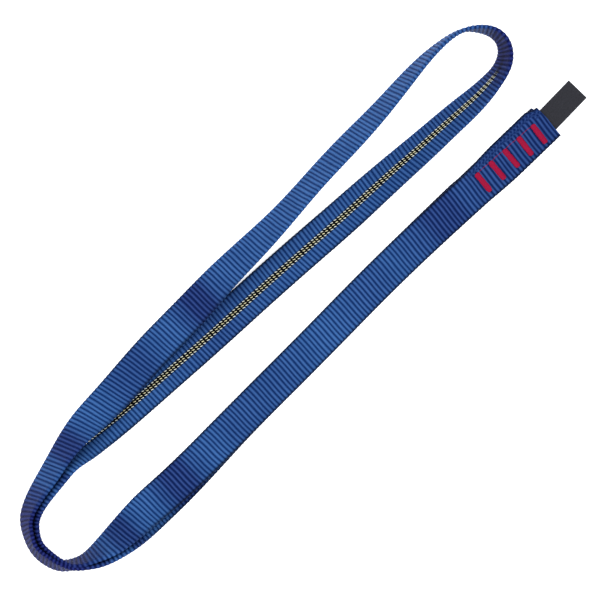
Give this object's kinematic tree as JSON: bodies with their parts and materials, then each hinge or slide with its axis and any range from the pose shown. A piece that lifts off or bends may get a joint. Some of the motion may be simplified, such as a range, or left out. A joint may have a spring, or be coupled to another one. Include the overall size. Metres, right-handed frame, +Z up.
{
  "type": "climbing loop sling",
  "caption": "Endless loop sling of ribbed blue tubular webbing with a woven tracer, sewn lap with red bartacks and a small black label, laid out folded.",
  "frame": {"origin": "on the surface that the sling lies on, below the middle of its laid-out outline", "axes": "+X from the fold towards the eye and the sewn end, along the strands; +Y from the sewn half towards the eye half; +Z up, away from the surface"},
  "size_m": [0.316, 0.0702, 0.0163],
  "materials": {
    "ribbed_webbing": "ribbed tubular nylon, slight sheen",
    "bartack_thread": "satin stitched polyester thread",
    "woven_label": "woven, matt"
  },
  "bodies": {
    "eye_half": {"outer_strand": "ribbed_webbing", "tracer_strand": "ribbed_webbing", "eye_turn": "ribbed_webbing", "fold_inner_layer": "ribbed_webbing", "fold_outer_layer": "ribbed_webbing"},
    "sewn_half": {"top_strand": "ribbed_webbing", "under_strand": "ribbed_webbing", "lap_hairpin": "ribbed_webbing", "bartack_1": "bartack_thread", "bartack_2": "bartack_thread", "bartack_3": "bartack_thread", "bartack_4": "bartack_thread", "bartack_5": "bartack_thread", "label_root": "woven_label"},
    "label": {"label_tab": "woven_label"}
  },
  "joints": [
    {"name": "fold_hinge", "type": "hinge", "parent": "eye_half", "child": "sewn_half", "pos_m": [-0.1548, -0.006, 0.008], "axis": [0, 0, -1], "range_deg": [-2, 120], "deforming": ["fold_inner_layer", "fold_outer_layer"]},
    {"name": "label_flap", "type": "hinge", "parent": "sewn_half", "child": "label", "pos_m": [0.13915, -0.02456, 0.00545], "axis": [0.0349, -0.9994, 0], "range_deg": [-12, 90], "stiffness_Nm_per_rad": 0.001}
  ]
}
